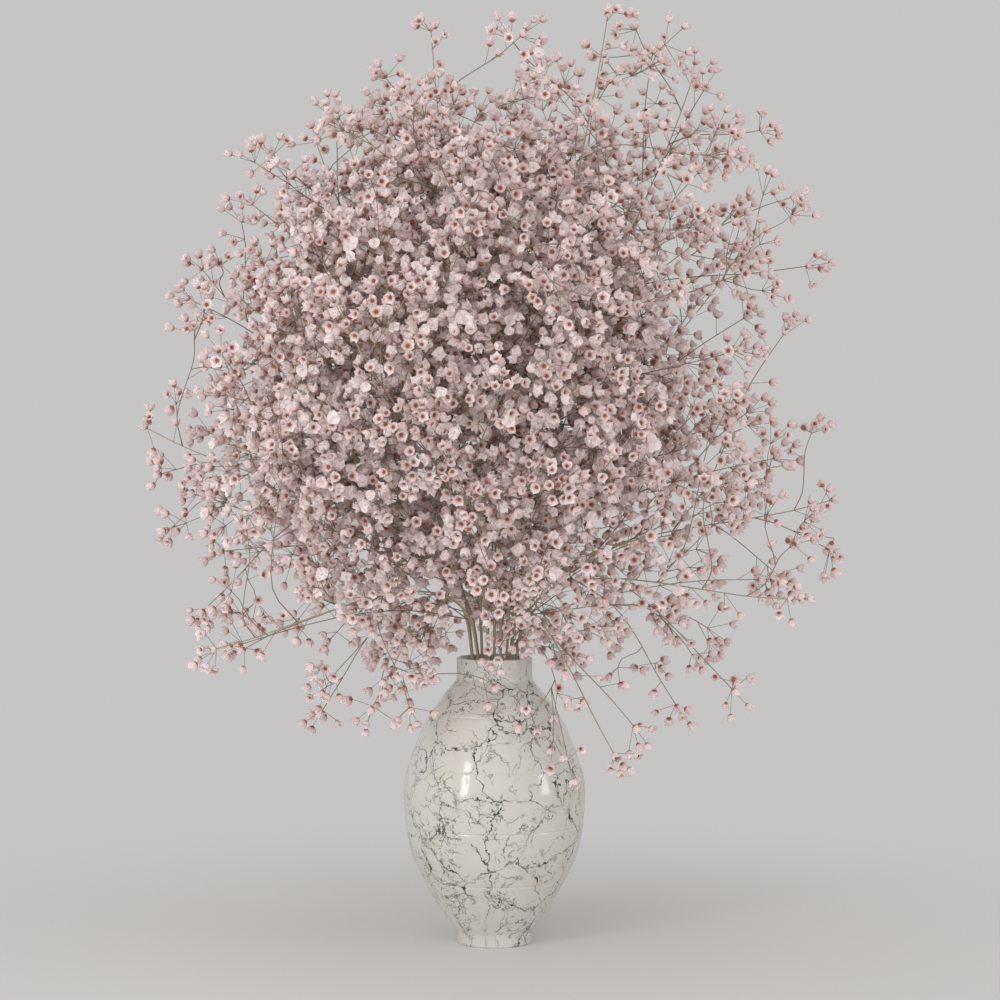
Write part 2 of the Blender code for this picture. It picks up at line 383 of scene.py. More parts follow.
def stem_axis(tip, ring, slot, slots):
    """A stem's points: its foot in the vase, the middle of the vase, the rim, and on to its tip."""
    bearing, distance, height = tip
    held = outward(360 * (slot + 0.5) / slots)
    foot = FEET_TOGETHER * ring * held + Vector((0, 0, FLOOR + GAP))
    rim = ring * held + Vector((0, 0, VASE_HEIGHT))
    end = distance * outward(bearing) + Vector((0, 0, height))
    lean = (rim - foot).normalized()
    span = end - rim
    out = span.normalized()
    droop = Vector((0, 0, -DROOP * (1 - out.z)))
    leave = rim + lean * max(span.length * RISE_SHARE, SHORTEST_RISE)
    arrive = end - (out + droop).normalized() * span.length * ARRIVAL_SHARE
    steps = max(FEWEST_KNOTS, round(span.length * CURVE_ALLOWANCE / KNOT_SPACING))
    return [foot, (foot + rim) / 2, rim, *bezier(rim, leave, arrive, end, steps)]


def reach(bearing, elevation):
    """How far the flowers reach from the crown's centre in this direction, in degrees."""
    row = min((elevation + 90) / ELEVATION_STEP, 7.999)
    side = bearing % 360 / 90
    found = 0
    for i in (0, 1):
        profile = REACH[(int(side) + i) % 4]
        here = profile[int(row)] + (profile[int(row) + 1] - profile[int(row)]) * (row % 1)
        found += here * (side % 1 if i else 1 - side % 1)
    return found


def crown_point(bearing, elevation, share):
    """The point at this share of the way from the crown's centre to its outside."""
    level = math.cos(math.radians(elevation))
    direction = level * outward(bearing) + Vector((0, 0, math.sin(math.radians(elevation))))
    return CROWN_CENTRE + direction * share * reach(bearing, elevation)


def beads(points):
    """Points a bead apart along a path, as an array, for measuring clearances."""
    found = []
    for a, b in zip(points, points[1:]):
        count = max(1, math.ceil((b - a).length / BEAD))
        found += [a.lerp(b, i / count) for i in range(count)]
    return np.array([*found, points[-1]])


def bough_points(host, knot, target):
    """A bough's points from a stem's knot to its target, leaving the stem at BOUGH_ANGLE."""
    start = host[knot]
    along = (host[knot + 1] - start).normalized()
    span = target - start
    side = (span - span.dot(along) * along).normalized()
    turn = min(BOUGH_ANGLE, along.angle(span))
    handle = span.length * HANDLE_SHARE
    leave = start + (along * math.cos(turn) + side * math.sin(turn)) * handle
    outwards = TURN_OUTWARDS * (target - CROWN_CENTRE).normalized()
    arrive = target - (span.normalized() + outwards).normalized() * handle
    return [start, *bezier(start, leave, arrive, target, BOUGH_STEPS)]


def best_host(stems, taken, target):
    """(stem, knot) from which a bough to the target is short and leaves at a natural angle."""
    best = None
    for number, stem in enumerate(stems):
        if sum(taken[number]) >= BOUGHS_PER_STEM:
            continue
        for knot in range(3, len(stem) - 1):
            span = target - stem[knot]
            fits = BOUGH_LENGTHS[0] < span.length < BOUGH_LENGTHS[1]
            if taken[number][knot] or not fits or stem[knot].z < LOWEST_BOUGH:
                continue
            off = abs((stem[knot + 1] - stem[knot]).angle(span) - BOUGH_ANGLE)
            cost = span.length * (1 + off * off)
            if off < MOST_BENT and (best is None or cost < best[0]):
                best = (cost, number, knot)
    return best and best[1:]


def inside_vase(points):
    low = [p for p in points if p.z < VASE_HEIGHT + RIM_MARGIN]
    return any(math.hypot(p.x, p.y) < SHOULDER_MARGIN for p in low)


def edge_target(number, attempt, draw):
    """A place for the tip of an edge spray, which drifts as tries fail."""
    drift = Vector([draw.uniform(-1, 1) for _ in range(3)])
    return Vector(EDGE_SPRAYS[number]) + drift * EDGE_DRIFT * attempt / TRIES_TO_DRIFT


def spread_target(number, attempt, draw):
    """A place for a bough's tip. They spread evenly over the crown's outer part."""
    scatter = draw.uniform(-TIP_SCATTER, TIP_SCATTER)
    height = TOP_TIP - TIP_BAND * (number + 0.5) / BOUGHS + scatter
    elevation = math.degrees(math.asin(max(-1, min(1, height))))
    turn = draw.uniform(-BEARING_SCATTER, BEARING_SCATTER) * (1 + attempt / TRIES_TO_SCATTER)
    return crown_point(GOLDEN_ANGLE * number + turn, elevation, draw.uniform(*TIP_SHARES))


def gap_between(beads_a, beads_b):
    return np.linalg.norm(beads_a[:, None] - beads_b[None], axis=2).min()


def past(path, length):
    """The point this far past a path's end."""
    return path[-1] + (path[-1] - path[-2]).normalized() * length


def grow_boughs(stems):
    """A list of (knot, points) for each stem. A bough is kept only if it passes clear of all that
    has grown, and each target has several tries."""
    draw = random.Random(SEED)
    grown = [[] for _ in stems]
    taken = [[False] * len(stem) for stem in stems]
    tips = [stem[-1] for stem in stems]
    wood = np.concatenate([beads([*stem, past(stem, FLORET_LENGTH)]) for stem in stems])
    aims = [(edge_target, n) for n in range(len(EDGE_SPRAYS))]
    aims += [(spread_target, n) for n in range(BOUGHS)]
    for aim, number in aims:
        for attempt in range(TRIES):
            target = aim(number, attempt, draw)
            if min((target - tip).length for tip in tips) < TIP_SPACING:
                continue
            found = best_host(stems, taken, target)
            if not found:
                continue
            host, knot = found
            points = bough_points(stems[host], knot, target)
            new = beads([*points, past(points, FLORET_LENGTH)])
            free = new[np.linalg.norm(new - np.array(points[0]), axis=1) > FREE_START]
            flower = beads([points[-1], past(points, FLORET_LENGTH)])
            if gap_between(free, wood) < CLEARANCE or inside_vase(points):
                continue
            if gap_between(flower, wood) < 2 * FLORET_RADIUS + GAP:
                continue
            taken[host][knot] = True
            grown[host].append((knot, points))
            tips.append(target)
            wood = np.concatenate([wood, free])
            break
    return grown


def all_stem_axes():
    found = []
    for tips, ring in ((OUTER_STEMS, OUTER_RING), (INNER_STEMS, INNER_RING)):
        found += [stem_axis(tip, ring, slot, len(tips)) for slot, tip in enumerate(tips)]
    return found


# ---------------------------------------------------------------- looks

def srgb(r, g, b):
    """Linear colour from 0-255 display values."""
    return tuple(((c / 255 + 0.055) / 1.055) ** 2.4 if c > 10 else c / 255 / 12.92
                 for c in (r, g, b))


class Nodes:
    """A material's nodes, made and linked in one line each."""

    def __init__(self, name):
        self.material = bpy.data.materials.new(name)
        self.material.use_nodes = True
        self.tree = self.material.node_tree
        self.shader = self.tree.nodes["Principled BSDF"]

    def put(self, socket, value):
        if isinstance(value, bpy.types.NodeSocket):
            self.tree.links.new(value, socket)
        elif isinstance(value, (tuple, list)) and len(value) == 3 and socket.type == "RGBA":
            socket.default_value = (*value, 1.0)
        else:
            socket.default_value = value

    def add(self, kind, inputs=None, out=0, **settings):
        node = self.tree.nodes.new(kind)
        for key, value in settings.items():
            setattr(node, key, value)
        for key, value in (inputs or {}).items():
            self.put(node.inputs[key], value)
        return node.outputs[out]

    def math(self, operation, a, b=0.0):
        return self.add("ShaderNodeMath", {0: a, 1: b}, operation=operation)

    def vector(self, operation, a, b=(0, 0, 0), scale=None):
        inputs = {0: a, 1: b}
        if scale is not None:
            inputs["Scale"] = scale
        return self.add("ShaderNodeVectorMath", inputs, operation=operation)

    def step(self, value, low, high, to_low=0.0, to_high=1.0):
        """Smoothly from to_low at low to to_high at high."""
        return self.add(
            "ShaderNodeMapRange",
            {"Value": value, "From Min": low, "From Max": high, "To Min": to_low, "To Max": to_high},
            interpolation_type="SMOOTHSTEP",
        )

    def noise(self, vector, scale, detail=2.0, roughness=0.5, out=0):
        given = {"Vector": vector, "Scale": scale, "Detail": detail, "Roughness": roughness}
        return self.add("ShaderNodeTexNoise", given, out=out)

    def mix(self, share, a, b):
        node = self.tree.nodes.new("ShaderNodeMix")
        node.data_type = "RGBA"
        for socket, value in ((node.inputs[0], share), (node.inputs[6], a), (node.inputs[7], b)):
            self.put(socket, value)
        return node.outputs[2]

    def ramp(self, share, stops):
        node = self.tree.nodes.new("ShaderNodeValToRGB")
        elements = node.color_ramp.elements
        while len(elements) > 1:
            elements.remove(elements[-1])
        for i, (place, colour) in enumerate(stops):
            element = elements[0] if i == 0 else elements.new(place)
            element.position = place
            element.color = (*colour, 1.0)
        self.put(node.inputs[0], share)
        return node.outputs[0]

    def finish(self, colour, roughness, **inputs):
        self.put(self.shader.inputs["Base Color"], colour)
        self.put(self.shader.inputs["Roughness"], roughness)
        for key, value in inputs.items():
            self.put(self.shader.inputs[key.replace("_", " ")], value)
        return self.material


def glaze():
    """White glaze with a broken web of dark veins, drawn in the vase's own space."""
    n = Nodes("veined_glaze")
    place = n.add("ShaderNodeTexCoord", out=3)

    def wander(vector, scale, detail, by):
        """The vector, moved by up to about half of by in each direction."""
        drawn = n.noise(place, scale, detail, 0.6, out=1)
        centred = n.vector("SUBTRACT", drawn, (0.5, 0.5, 0.5))
        return n.vector("ADD", vector, n.vector("SCALE", centred, scale=by))

    bent = wander(wander(wander(place, 14.0, 2.0, 0.046), 70.0, 3.0, 0.018), 330.0, 2.0, 0.0030)

    def web(scale, offset, half_width, soft):
        """1 on the lines between the cells of a web, whose half width is in metres."""
        moved = n.vector("ADD", bent, offset)
        edge = n.add("ShaderNodeTexVoronoi", {"Vector": moved, "Scale": scale},
                     feature="DISTANCE_TO_EDGE")
        away = n.math("SUBTRACT", n.math("DIVIDE", edge, scale), half_width)
        return n.step(away, 0.0, soft, 1.0, 0.0)

    def where(share, scale, low, high, detail=2.0):
        """The share, only where a noise of this scale is over low."""
        drawn = n.noise(place, scale, detail, 0.6)
        return n.math("MULTIPLY", share, n.step(drawn, low, high))

    # Black veins swell and break as they run, over a paler line that is almost whole.
    swelling = n.noise(place, 120.0, 3.0, 0.65)
    width = n.step(swelling, 0.42, 0.74, 0.00003, 0.00080)
    main = 23.0
    black = where(where(web(main, (0, 0, 0), width, 0.00035), 46.0, 0.42, 0.50), 200.0, 0.30, 0.40)
    grey = where(web(main, (0, 0, 0), 0.00012, 0.00075), 170.0, 0.34, 0.48)
    # Finer veins cross them in patches, and shatter into fragments here and there.
    thin = where(where(web(40.0, (0.31, 0.12, 0.23), 0.00010, 0.00058), 26.0, 0.42, 0.50),
                 150.0, 0.34, 0.46)
    shattered = where(where(web(95.0, (0.7, 0.4, 0.1), 0.00024, 0.00045), 34.0, 0.50, 0.58),
                      200.0, 0.42, 0.54)
    near = web(main, (0, 0, 0), 0.0005, 0.0060)
    flecks = where(where(near, 36.0, 0.50, 0.62), 430.0, 0.56, 0.63, 3.0)
    haze = where(near, 130.0, 0.46, 0.72, 4.0)
    white = n.ramp(n.noise(place, 22.0, 3.0), (
        (0.30, srgb(216, 212, 203)),
        (0.50, srgb(214, 212, 206)),
        (0.70, srgb(218, 218, 214)),
    ))
    colour = white
    for veins, strength, dark in (
        (haze, 0.22, (150, 147, 144)),
        (grey, 0.62, (116, 114, 112)),
        (thin, 0.66, (98, 96, 95)),
        (shattered, 0.74, (62, 60, 61)),
        (flecks, 0.62, (78, 75, 75)),
        (black, 0.96, (38, 37, 39)),
    ):
        colour = n.mix(n.math("MULTIPLY", veins, strength), colour, srgb(*dark))
    bump = n.add("ShaderNodeBump", {
        "Strength": 0.05,
        "Distance": 0.0004,
        "Height": n.noise(place, 120.0, 2.0),
    })
    return n.finish(colour, 0.16, Normal=bump, Coat_Weight=0.6, Coat_Roughness=0.03,
                    Specular_IOR_Level=0.5)


def own_map(n):
    """(tone, across, part, uv) from the map that florets and wood carry. Its columns are TONES
    tones, each from one side of a petal or tube to the other. Its rows run from base to tip."""
    uv = n.add("ShaderNodeUVMap", uv_map="OFBake")
    separate = n.tree.nodes.new("ShaderNodeSeparateXYZ")
    n.put(separate.inputs[0], uv)
    columns = n.math("MULTIPLY", separate.outputs[0], float(TONES))
    tone = n.math("DIVIDE", n.math("FLOOR", columns), float(TONES))
    return tone, n.math("FRACT", columns), separate.outputs[1], uv


def petals():
    """Papery petals on an orange-brown calyx, pale at the tips, with painted shade that
    darkens the throat and the notches between the petals.
    """
    n = Nodes("dried_petals")
    tone, across, part, uv = own_map(n)
    petal = n.ramp(tone, (
        (0.00, srgb(241, 222, 220)),
        (0.20, srgb(238, 213, 215)),
        (0.42, srgb(245, 230, 227)),
        (0.62, srgb(234, 205, 207)),
        (0.82, srgb(242, 220, 213)),
        (1.00, srgb(229, 196, 189)),
    ))
    cup = n.ramp(n.math("FRACT", n.math("MULTIPLY", tone, 5.0)), (
        (0.00, srgb(176, 104, 80)),
        (0.35, srgb(156, 90, 74)),
        (0.65, srgb(182, 122, 94)),
        (1.00, srgb(140, 102, 78)),
    ))
    grain = n.vector("MULTIPLY", uv, (TONES * 9.0, 11.0, 1.0))
    veins = n.noise(grain, 1.0, 3.0, 0.6)
    pale = n.mix(n.step(part, 0.42, 0.70, 0.0, 0.88), petal, srgb(244, 236, 236))
    pale = n.mix(n.step(veins, 0.44, 0.60, 0.0, 0.55), pale, srgb(208, 170, 172))
    # Painted shade: each petal darkens towards its edges, most of all at the notches between the
    # petals, where shade falls.
    off_middle_for_painted_shade = n.math("ABSOLUTE", n.math("SUBTRACT", across, 0.5))
    pale = n.mix(n.step(off_middle_for_painted_shade, 0.16, 0.44, 0.0, 0.38), pale, srgb(198, 156, 156))
    ragged = n.math("MULTIPLY", n.math("SUBTRACT", veins, 0.5), 0.16)
    fade = n.step(n.math("ADD", part, ragged), 0.17, 0.36)
    outside = n.mix(fade, cup, pale)
    # Painted shade: the inside of the throat turns a dusky pink where shade falls in the cup. Its
    # middle holds the flower's own brown centre, which is made darker than the calyx as painted
    # shade deep in the cup.
    painted_throat_shade = n.mix(0.40, petal, srgb(186, 140, 132))
    throat = n.mix(n.step(part, 0.90, 0.945), painted_throat_shade, n.mix(0.50, cup, srgb(116, 80, 62)))
    colour = n.mix(n.step(part, 0.81, 0.90), outside, throat)
    bump = n.add("ShaderNodeBump", {"Strength": 0.25, "Distance": 0.0003, "Height": veins})
    return n.finish(colour, 0.62, Normal=bump, Sheen_Weight=0.10, Sheen_Roughness=0.5)


def wood():
    """Dried stem, with fibres that run along it."""
    n = Nodes("dried_stem")
    tone, _, part, uv = own_map(n)
    base = n.ramp(tone, (
        (0.00, srgb(142, 129, 113)),
        (0.30, srgb(162, 149, 132)),
        (0.62, srgb(150, 132, 116)),
        (0.70, srgb(172, 156, 134)),
        (1.00, srgb(190, 176, 154)),
    ))
    fibres = n.noise(n.vector("MULTIPLY", uv, (TONES * 3.0, 5.0, 1.0)), 1.0, 3.0, 0.65)
    colour = n.mix(n.step(fibres, 0.35, 0.70, 0.0, 0.40), base, srgb(122, 106, 90))
    colour = n.mix(n.step(part, 0.80, 1.0, 0.0, 0.30), colour, srgb(172, 138, 116))
    bump = n.add("ShaderNodeBump", {"Strength": 0.4, "Distance": 0.0002, "Height": fibres})
    return n.finish(colour, 0.72, Normal=bump)


class Cloth:
    """Vertices, faces and map places gathered for one mesh, which stays inside the part's box."""

    def __init__(self, box):
        self.low, self.high = np.array(box) + ((BOX_SKIN,) * 3, (-BOX_SKIN,) * 3)
        self.low[2] = box[0][2]
        self.vertices, self.faces, self.places, self.count = [], [], [], 0

    def add(self, vertices, faces, places):
        """faces are lists of vertex numbers and places has one (u, v) for each of their corners."""
        self.vertices.append(np.asarray(vertices, float))
        self.faces += [[i + self.count for i in face] for face in faces]
        self.places += places
        self.count += len(vertices)

    def build(self, name, material, node, rounded=True):
        mesh = bpy.data.meshes.new(name)
        inside = np.clip(np.concatenate(self.vertices), self.low, self.high)
        mesh.from_pydata(inside, [], self.faces)
        layer = mesh.uv_layers.new(name="OFBake")
        layer.uv.foreach_set("vector", np.array(self.places, np.float32).ravel())
        mesh.materials.append(material)
        if rounded:
            mesh.shade_smooth()
        else:
            mesh.shade_flat()
        piece = bpy.data.objects.new(name, mesh)
        bpy.context.scene.collection.objects.link(piece)
        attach(piece, "root")
        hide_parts(node)
        return piece


def place_of(tone, across, part):
    """A place on the map that own_map reads."""
    return ((tone + COLUMN[0] + COLUMN[1] * across) / TONES, ROW[0] + ROW[1] * part)


def tube(cloth, points, radii, sides, tone):
    """A closed tube along the points, which narrows as radii say."""
    centres = np.array([tuple(p) for p in points])
    along = np.gradient(centres, axis=0)
    along /= np.linalg.norm(along, axis=1)[:, None]
    side = np.cross(along[0], (0.3, 0.2, 0.93))
    side /= np.linalg.norm(side)
    rings = []
    turns = np.arange(sides) * 2 * math.pi / sides
    for centre, way, radius in zip(centres, along, radii):
        side = side - side.dot(way) * way
        side /= np.linalg.norm(side)
        up = np.cross(way, side)
        around = np.cos(turns)[:, None] * side + np.sin(turns)[:, None] * up
        rings.append(centre + radius * around)
    last = len(rings) - 1
    faces, places = [list(range(sides))[::-1]], [place_of(tone, 0.5, 0.0)] * sides
    for ring in range(last):
        for i in range(sides):
            j = (i + 1) % sides
            a, b = ring * sides + i, ring * sides + j
            faces.append([a, b, b + sides, a + sides])
            low, high = ring / last, (ring + 1) / last
            left, right = i / sides, (i + 1) / sides
            places += [place_of(tone, left, low), place_of(tone, right, low),
                       place_of(tone, right, high), place_of(tone, left, high)]
    faces.append([last * sides + i for i in range(sides)])
    places += [place_of(tone, 0.5, 1.0)] * sides
    cloth.add(np.concatenate(rings), faces, places)


def floret_form(flare, crumple, throat, draw):
    """Vertices of a bell that opens along +Z: the calyx, a round belly, short pointed lobes and
    the throat inside. flare opens its mouth and crumple bends its lobes. throat is the width of
    the throat, its height, how much of the crumpling it has and the height of its middle."""
    R, L = FLORET_RADIUS, FLORET_LENGTH

    def ring(count, place):
        found = []
        for i in range(count):
            turn = 2 * math.pi * (i + 0.5) / count + (0 if count == PETALS else math.pi / count)
            wide, high = place(i % 2 == 0)
            found.append((wide * R * math.cos(turn), wide * R * math.sin(turn), high * L))
        return found

    def bend(size):
        return draw.uniform(-size, size) * crumple

    def belly(tip):
        wide = ROUND_WIDE + ROUND_FLARE * flare + bend(ROUND_BENDS[0])
        return wide, ROUND_HIGH + bend(ROUND_BENDS[1])

    def lip(tip):
        wider, high, lowers, bends = PETAL_TIP if tip else PETAL_NOTCH
        wide = 1 + LIP_FLARE * flare + bend(LIP_BEND)
        return wide + wider, high - lowers * max(flare, 0) + bend(bends)

    return np.array([
        (0, 0, 0),
        *ring(PETALS, lambda tip: (CALYX_WIDE, CALYX_HIGH)),
        *ring(2 * PETALS, belly),
        *ring(2 * PETALS, lip),
        *ring(PETALS, lambda tip: (throat[0] + bend(throat[2]), throat[1] + bend(throat[2]))),
        (0, 0, throat[3] * L),
    ])


def floret_faces(ring_part, middle_part):
    """Faces of every floret, and (across, part) for each of their corners. The last two parts
    are those of the throat's ring and its middle."""
    calyx = [1 + i for i in range(PETALS)]
    shoulder = [1 + PETALS + i for i in range(2 * PETALS)]
    lip = [1 + 3 * PETALS + i for i in range(2 * PETALS)]
    throat = [1 + 5 * PETALS + i for i in range(PETALS)]
    centre = 1 + 6 * PETALS
    part = {0: 0.0, centre: middle_part}
    across = {0: 0.5, centre: 0.5}
    for ring, level in ((calyx, CALYX_PART), (shoulder, ROUND_PART), (throat, ring_part)):
        for i, v in enumerate(ring):
            part[v] = level
            across[v] = 0.5 if len(ring) == PETALS else ROUND_ACROSS[i % 2]
    for i, v in enumerate(lip):
        part[v] = LIP_PARTS[i % 2]
        across[v] = LIP_ACROSS[i % 2]
    faces = []
    for i in range(PETALS):
        j = (i + 1) % PETALS
        faces.append((0, calyx[j], calyx[i]))
        a, b, c = shoulder[2 * i], shoulder[2 * i + 1], shoulder[(2 * i + 2) % (2 * PETALS)]
        faces += [(calyx[i], calyx[j], b), (calyx[i], b, a), (calyx[j], c, b)]
        d, e, f = lip[2 * i], lip[2 * i + 1], lip[(2 * i + 2) % (2 * PETALS)]
        faces += [(a, b, e, d), (b, c, f, e)]
        faces += [(d, e, throat[i]), (e, throat[j], throat[i]), (e, f, throat[j])]
        faces.append((throat[i], throat[j], centre))
    corners = [[(across[v], part[v]) for v in face] for face in faces]
    return [list(face) for face in faces], corners


def frame_of(way, turn):
    """A rotation that takes +Z to way, after a turn about it."""
    way = np.array(way) / np.linalg.norm(way)
    side = np.cross(way, (0.31, 0.17, 0.93) if abs(way[2]) < 0.9 else (1.0, 0.1, 0.2))
    side /= np.linalg.norm(side)
    up = np.cross(way, side)
    c, s = math.cos(turn), math.sin(turn)
    return np.stack([c * side + s * up, -s * side + c * up, way], axis=1)


def vase_radius(z):
    """The vase's outside radius at a height."""
    heights = [0.0, FOOT_HEIGHT, *[h for _, h in reversed(BELLY)], VASE_HEIGHT - NECK_LENGTH,
               VASE_HEIGHT]
    radii = [FOOT_RADIUS, FOOT_RADIUS, *[r for r, _ in reversed(BELLY)], NECK_RADIUS, NECK_RADIUS]
    return float(np.interp(z, heights, radii))


class Plant:
    """All that grows, for each stem, with where it may not grow."""

    def __init__(self, box):
        self.draw = random.Random(SEED + 1)
        self.low = np.array(box[0]) + BOX_MARGIN
        self.high = np.array(box[1]) - BOX_MARGIN
        self.cells = {}
        self.florets = []
        self.tubes = []
        self.hosts = np.zeros((0, 7))

    def free(self, point, spacing):
        """Whether a floret's middle at this point is clear of the vase and the other florets."""
        if (point < self.low).any() or (point > self.high).any():
            return False
        x, y, z = point
        if z < VASE_HEIGHT + RIM_CLEAR and math.hypot(x, y) < vase_radius(z) + VASE_CLEAR:
            return False
        i, j, k = (int(c // CELL) for c in point)
        for cell in itertools.product((i - 1, i, i + 1), (j - 1, j, j + 1), (k - 1, k, k + 1)):
            for a, b, c in self.cells.get(cell, ()):
                if (a - x) ** 2 + (b - y) ** 2 + (c - z) ** 2 < spacing**2:
                    return False
        return True

    def flower(self, stem, base, way, size, ruffled=False):
        middle = base + way * FLORET_LENGTH * size * 0.5
        self.cells.setdefault(tuple(int(c // CELL) for c in middle), []).append(tuple(middle))
        self.florets.append((stem, base, way, size, ruffled))

    def umbel(self, stem, tip, way, count, central=False):
        """Pedicels spread from a twig's tip, each with a floret at its end."""
        draw = self.draw
        turn = draw.uniform(0, 360)
        basis = frame_of(way, 0)
        crowd = min(1.0, crowding(tip))
        outwards = np.array(tip) - np.array(CROWN_CENTRE)
        outwards *= FACE_OUT * (1 - crowd) / np.linalg.norm(outwards)
        long = 1 + LOOSE * (1 - crowd)
        spacing = FLORET_SPACING - CLOSER * crowd
        count += round(MORE_PEDICELS * crowd)
        if central:
            self.flower(stem, tip, way, 1.0)
        for i in range(count):
            for _ in range(PEDICEL_TRIES):
                turn += GOLDEN_ANGLE + draw.uniform(-TURN_SCATTER, TURN_SCATTER)
                lean = math.radians(draw.uniform(*(LEANS if i else FIRST_LEAN)))
                length = draw.uniform(*PEDICEL_LENGTHS) * long
                local = (math.sin(lean) * math.cos(math.radians(turn)),
                         math.sin(lean) * math.sin(math.radians(turn)), math.cos(lean))
                out = basis @ np.array(local)
                end = tip + out * length
                nod = out + outwards + np.array([draw.uniform(*nods) for nods in NODS])
                nod /= np.linalg.norm(nod)
                size = draw.uniform(*FLORET_SIZES)
                if self.free(end + nod * FLORET_LENGTH * size * 0.5, spacing):
                    pedicel = [tip, end + nod * FLORET_SEAT]
                    self.tubes.append((stem, pedicel, PEDICEL_RADII, PEDICEL_SIDES))
                    self.flower(stem, end, nod, size, draw.random() < RUFFLED * crowd)
                    break

    def side_sprays(self, stem, path):
        """A few florets on short pedicels along a path's outer part, where little else grows."""
        gone = 0.0
        for before, here in zip(path[len(path) // 3:], path[len(path) // 3 + 1:]):
            gone += (here - before).length
            if gone < SPRAY_SPACING or crowding(here) > SPARSE or here.z < LOWEST_TWIG:
                continue
            gone = 0.0
            across = frame_of((here - before), self.draw.uniform(0, ANY_TURN))[:, 0]
            way = SPRAY_FORWARDS * np.array((here - before).normalized()) + across
            self.umbel(stem, np.array(here), way, self.draw.choice(SPRAY_PEDICELS))

    def host(self, stem, points):
        """Makes a path one that twigs may grow from."""
        points = np.array([tuple(p) for p in points])
        ways = np.gradient(points, axis=0)
        ways /= np.linalg.norm(ways, axis=1)[:, None]
        rows = np.column_stack([points, ways, np.full(len(points), stem)])[1:-1]
        self.hosts = np.vstack([self.hosts, rows[rows[:, 2] > LOWEST_TWIG]])

    def twig(self, target):
        """Grows a twig with an umbel to this target from the best place near it, if there is one
        and the twig clears the vase."""
        table = self.hosts
        span = target - table[:, :3]
        length = np.linalg.norm(span, axis=1)
        lean = np.arccos(np.clip((span * table[:, 3:6]).sum(1) / np.maximum(length, 1e-6), -1, 1))
        off = np.abs(lean - TWIG_ANGLE)
        cost = length * (1 + LEAN_COST * off * off) + SHORT_COST * (length < TWIG_SHORTEST)
        best = int(np.argmin(cost))
        if length[best] > TWIG_LONGEST:
            return
        start, way, stem = table[best, :3], table[best, 3:6], int(table[best, 6])
        gone = span[best] / length[best]
        side = gone - gone.dot(way) * way
        side /= max(np.linalg.norm(side), 1e-6)
        turn = min(TWIG_ANGLE, lean[best])
        handle = length[best] * TWIG_HANDLE
        leave = start + (way * math.cos(turn) + side * math.sin(turn)) * handle
        crown = target - np.array(CROWN_CENTRE)
        crown /= np.linalg.norm(crown)
        wander = np.array([self.draw.uniform(-TWIG_WANDER, TWIG_WANDER) for _ in range(3)])
        end_way = gone + TWIG_OUTWARDS * crown + wander
        end_way /= np.linalg.norm(end_way)
        arrive = target - end_way * handle
        steps = max(FEWEST_TWIG_STEPS, round(length[best] / TWIG_STEP))
        path = [Vector(start), *bezier(Vector(start), Vector(leave), Vector(arrive),
                                       Vector(target), steps)]
        low = [p for p in path if p.z < VASE_HEIGHT + TWIG_RIM_CLEAR]
        if any(math.hypot(p.x, p.y) < vase_radius(p.z) + TWIG_VASE_CLEAR for p in low):
            return
        self.tubes.append((stem, path, TWIG_RADII, TWIG_SIDES))
        self.host(stem, path)
        hangs = target[2] < VASE_HEIGHT
        self.umbel(stem, np.array(target), end_way, self.draw.choice(FEW if hangs else PEDICELS))


def smooth(value, low, high):
    """Smoothly from 0 at low to 1 at high."""
    t = max(0.0, min(1.0, (value - low) / (high - low)))
    return t * t * (3 - 2 * t)


def crowding(point):
    """How thickly florets grow at a point, from 0 to 1: a dense heart, in a looser veil that thins
    towards the crown's outline."""
    span = Vector(point) - CROWN_CENTRE
    bearing = math.degrees(math.atan2(span.y, span.x))
    elevation = math.degrees(math.asin(max(-1, min(1, span.z / max(span.length, 1e-6)))))
    share = span.length / reach(bearing, elevation)
    if share > FULL_EDGE:
        return 0
    x, y, z = point
    barer, fuller = 1.0, 0.0
    for lobe_x, lobe_z, radius, amount in LOBES:
        here = math.exp(-((x - lobe_x) ** 2 + (z - lobe_z) ** 2) / radius**2)
        if amount < 0:
            barer *= 1 + amount * here
        else:
            fuller += amount * here * math.exp(-((y / LOBE_DEPTH) ** 2))
    if share > VEIL_EDGE:
        return fuller
    low = smooth(LOW_HEIGHT - z, 0.0, LOW_FADE)
    veil = VEIL * (1 - VEIL_THINS * smooth(share, *VEIL_FADE) * (1 - LOW_KEEPS * low))
    level = math.exp(-(((z - RIGHT_GAP_HEIGHT) / RIGHT_GAP_HALF) ** 2))
    veil *= 1 - RIGHT_GAP * smooth(x, *RIGHT_GAP_ACROSS) * level
    across = math.hypot(x - HEART_CENTRE.x, y) / HEART_RADII[0]
    up = z - HEART_CENTRE.z
    up /= HEART_RADII[1] if up > 0 else HEART_RADII[2]
    deep = math.hypot(across, up)
    heart = (1 - VEIL) * (1 - smooth(deep, *HEART_EDGE))
    heart *= HEART_INSIDE + (1 - HEART_INSIDE) * smooth(deep, *HEART_SHELL)
    corner = 1 - CORNER * smooth(CORNER_SLOPE * (z - CROWN_CENTRE.z) - x, *CORNER_EDGE)
    off = ((x - PARTING_ACROSS[0]) / PARTING_ACROSS[1]) ** 2
    parting = 1 - PARTING * math.exp(-(off + ((z - PARTING_HEIGHT[0]) / PARTING_HEIGHT[1]) ** 2))
    return (veil + heart) * corner * parting * barer + fuller


